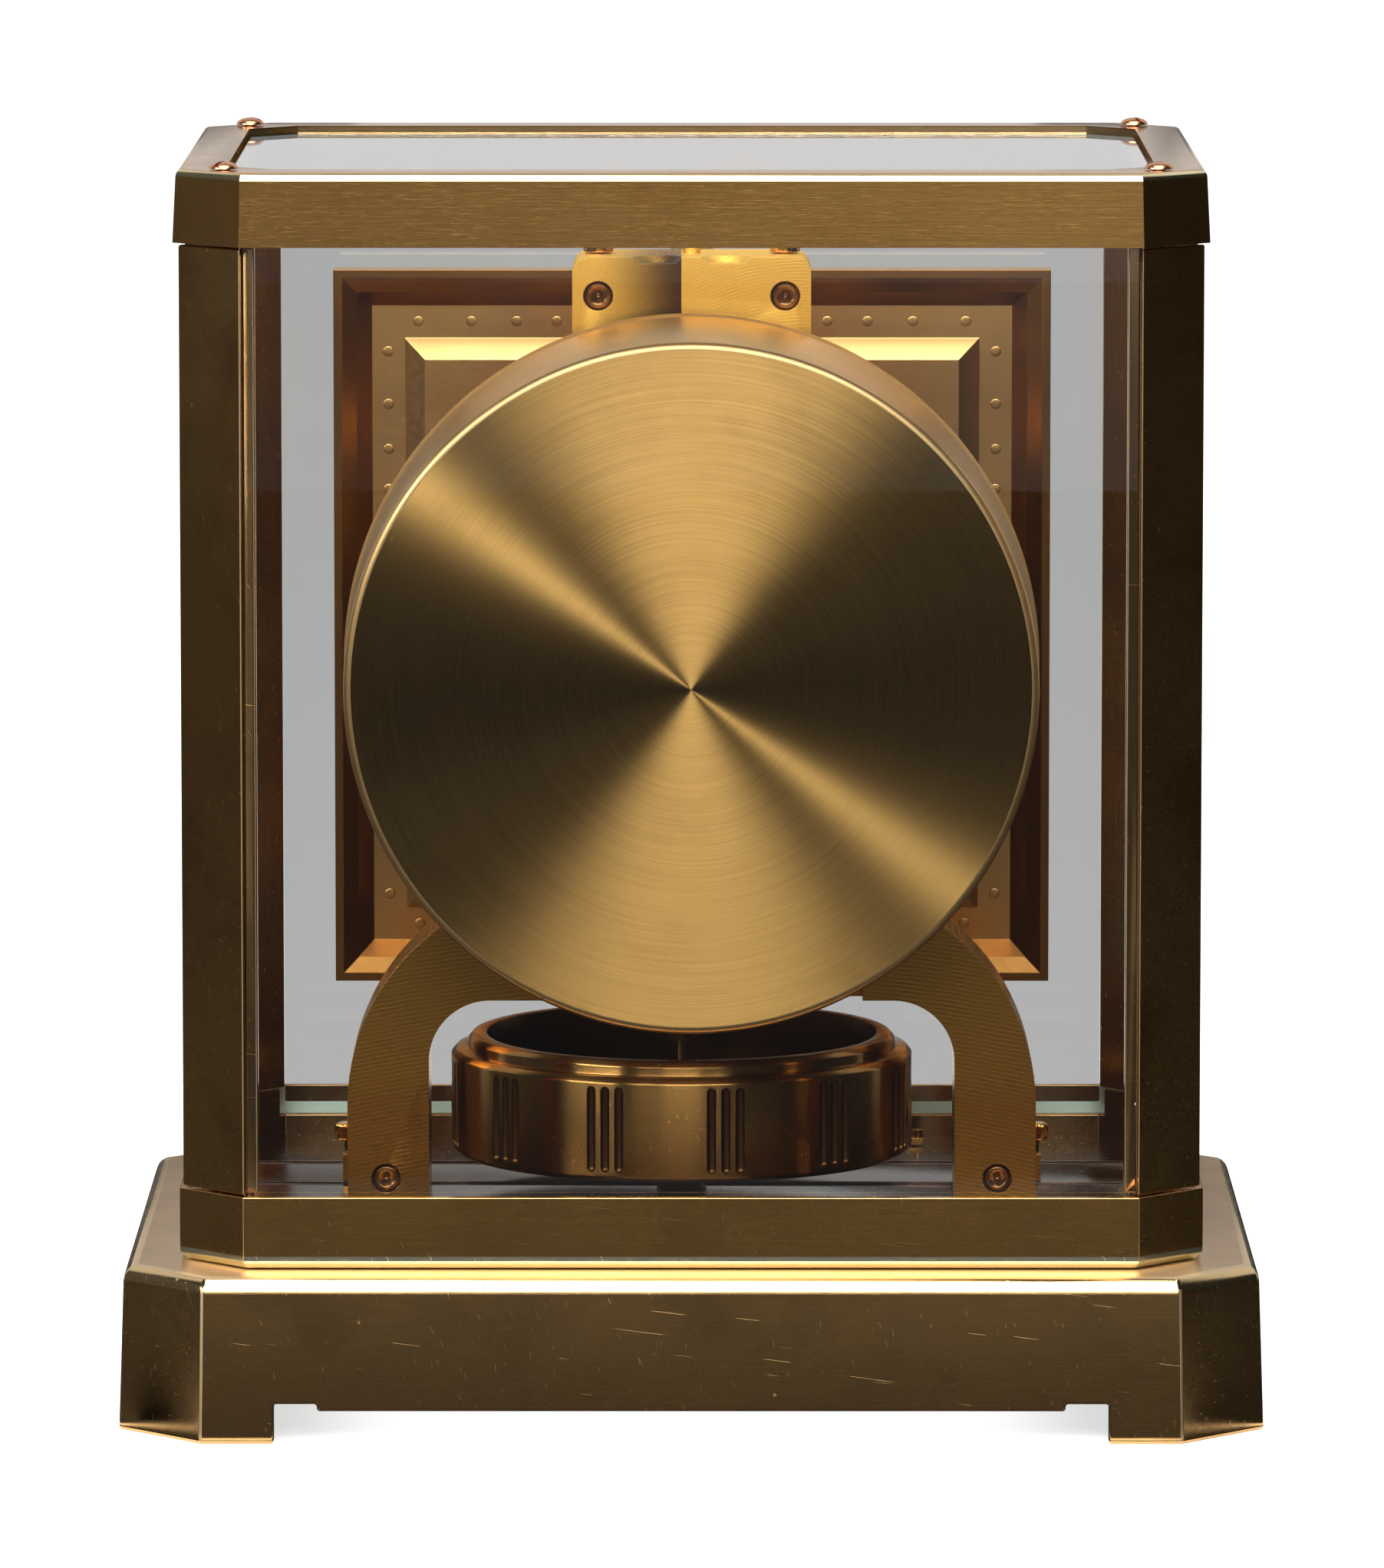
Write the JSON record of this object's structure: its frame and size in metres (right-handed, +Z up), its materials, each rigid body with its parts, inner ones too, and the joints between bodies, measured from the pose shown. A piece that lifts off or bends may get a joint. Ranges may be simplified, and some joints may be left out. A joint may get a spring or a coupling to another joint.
{
  "type": "atmospheric clock",
  "caption": "Mantel clock in a glazed brass case, with a torsion balance under the movement and a bellows drum behind the dial.",
  "frame": {"origin": "middle of the footprint, on the surface that the clock stands on", "axes": "+Z up, the dial and the lifting front glass face -Y, the bellows drum faces +Y"},
  "size_m": [0.21, 0.16, 0.2327],
  "materials": {
    "case_brass": "brushed and aged",
    "polished_brass": "polished",
    "movement_brass": "milled and gilt",
    "drum_brass": "turned, satin",
    "dial_gold": "matte gilt",
    "copper": "polished",
    "steel": "brushed",
    "dark_metal": "dark gloss",
    "hand_black": "satin black",
    "clear_glass": "clear"
  },
  "bodies": {
    "case": {"plinth": "case_brass", "lower_rim": "case_brass", "floor_plate": "dark_metal", "pillar_rear_left": "polished_brass", "pillar_rear_right": "polished_brass", "pillar_front_left": "polished_brass", "pillar_front_right": "polished_brass", "top_frame": "case_brass", "top_glass": "clear_glass", "top_screw_rear_left": "copper", "top_screw_rear_right": "copper", "top_screw_front_left": "copper", "top_screw_front_right": "copper", "rear_glass": "clear_glass", "side_glass_left": "clear_glass", "side_glass_right": "clear_glass", "level_housing": "polished_brass", "level_vial": "clear_glass", "balance_rest_cup": "dark_metal", "movement_bridge": "movement_brass", "leg_screw_left": "movement_brass", "leg_screw_right": "movement_brass", "back_plate": "movement_brass", "front_plate": "movement_brass", "plate_pillar_1": "polished_brass", "plate_pillar_2": "polished_brass", "plate_pillar_3": "polished_brass", "suspension_block": "movement_brass", "block_screw_left": "movement_brass", "block_screw_right": "movement_brass", "block_top_screw_left": "movement_brass", "block_top_screw_right": "movement_brass", "suspension_tube": "movement_brass", "torsion_wire": "steel", "bellows_drum": "drum_brass", "drum_carrier": "movement_brass", "bellows_capsule": "copper", "counter_spring": "steel", "dial_plate": "dial_gold"},
    "front_door": {"front_glass": "clear_glass", "front_knob": "polished_brass", "front_knob_nut": "steel"},
    "balance": {"balance_ring": "polished_brass", "balance_spider": "movement_brass", "impulse_roller": "movement_brass"},
    "bellows_rod": {"bellows_push_rod": "steel"},
    "barrel": {"mainspring_barrel": "movement_brass"},
    "centre": {"centre_wheel": "movement_brass", "minute_hand": "hand_black"},
    "third": {"third_wheel": "movement_brass"},
    "escape": {"escape_wheel": "movement_brass"},
    "pallets": {"pallet_lever": "steel"},
    "minute_work": {"minute_wheel": "movement_brass"},
    "hour_work": {"hour_hand": "hand_black"},
    "lock": {"lock_lever": "polished_brass"},
    "clamp_left": {"clamp_knob_left": "polished_brass"},
    "clamp_right": {"clamp_knob_right": "polished_brass"},
    "foot_1": {"levelling_screw_1": "polished_brass"},
    "foot_2": {"levelling_screw_2": "polished_brass"},
    "foot_3": {"levelling_screw_3": "polished_brass"}
  },
  "joints": [
    {"name": "minute_hand_turn", "type": "hinge", "parent": "case", "child": "centre", "pos_m": [0, -0.02, 0.1364], "axis": [0, 1, 0], "continuous": true},
    {"name": "hour_hand_turn", "type": "hinge", "parent": "case", "child": "hour_work", "pos_m": [0, -0.04, 0.1364], "axis": [0, 1, 0], "continuous": true},
    {"name": "minute_wheel_turn", "type": "hinge", "parent": "case", "child": "minute_work", "pos_m": [-0.012, -0.036, 0.1364], "axis": [0, 1, 0], "continuous": true},
    {"name": "third_wheel_turn", "type": "hinge", "parent": "case", "child": "third", "pos_m": [-0.01125, -0.02, 0.11691], "axis": [0, 1, 0], "continuous": true},
    {"name": "escape_wheel_turn", "type": "hinge", "parent": "case", "child": "escape", "pos_m": [-0.00337, -0.02, 0.10327], "axis": [0, 1, 0], "continuous": true},
    {"name": "barrel_turn", "type": "hinge", "parent": "case", "child": "barrel", "pos_m": [0.0172, -0.02, 0.14845], "axis": [0, 1, 0], "continuous": true},
    {"name": "pallet_rock", "type": "hinge", "parent": "case", "child": "pallets", "pos_m": [-0.00337, -0.02, 0.08877], "axis": [0, 1, 0], "range_deg": [-4, 4]},
    {"name": "balance_swing", "type": "hinge", "parent": "case", "child": "balance", "pos_m": [0.0019, 0.003, 0.05], "axis": [0, 0, 1], "range_deg": [-270, 270], "stiffness_Nm_per_rad": 0.0000055},
    {"name": "bellows_push", "type": "slide", "parent": "case", "child": "bellows_rod", "axis": [0, -1, 0], "range_m": [0, 0.003], "stiffness_N_per_m": 500, "deforming": ["counter_spring"]},
    {"name": "front_glass_lift", "type": "slide", "parent": "case", "child": "front_door", "axis": [0, 0, 1], "range_m": [0, 0.006]},
    {"name": "lock_lever_turn", "type": "hinge", "parent": "case", "child": "lock", "pos_m": [-0.022, -0.05, 0.0359], "axis": [0, 0, 1], "range_deg": [-45, 0]},
    {"name": "clamp_knob_left_turn", "type": "hinge", "parent": "case", "child": "clamp_left", "pos_m": [-0.0646, -0.013, 0.044], "axis": [0, 0, 1], "continuous": true},
    {"name": "clamp_knob_right_turn", "type": "hinge", "parent": "case", "child": "clamp_right", "pos_m": [0.0646, -0.013, 0.044], "axis": [0, 0, 1], "continuous": true},
    {"name": "levelling_screw_1_turn", "type": "hinge", "parent": "case", "child": "foot_1", "pos_m": [-0.084, -0.06, 0.009], "axis": [0, 0, 1], "continuous": true},
    {"name": "levelling_screw_2_turn", "type": "hinge", "parent": "case", "child": "foot_2", "pos_m": [0.084, -0.06, 0.009], "axis": [0, 0, 1], "continuous": true},
    {"name": "levelling_screw_3_turn", "type": "hinge", "parent": "case", "child": "foot_3", "pos_m": [0, 0.058, 0.009], "axis": [0, 0, 1], "continuous": true}
  ],
  "couplings": [
    {"joint": "hour_hand_turn", "follows": "minute_hand_turn", "ratio": 0.083333},
    {"joint": "minute_wheel_turn", "follows": "minute_hand_turn", "ratio": -0.33333},
    {"joint": "third_wheel_turn", "follows": "minute_hand_turn", "ratio": -2},
    {"joint": "escape_wheel_turn", "follows": "minute_hand_turn", "ratio": 4},
    {"joint": "barrel_turn", "follows": "minute_hand_turn", "ratio": -0.16667}
  ]
}
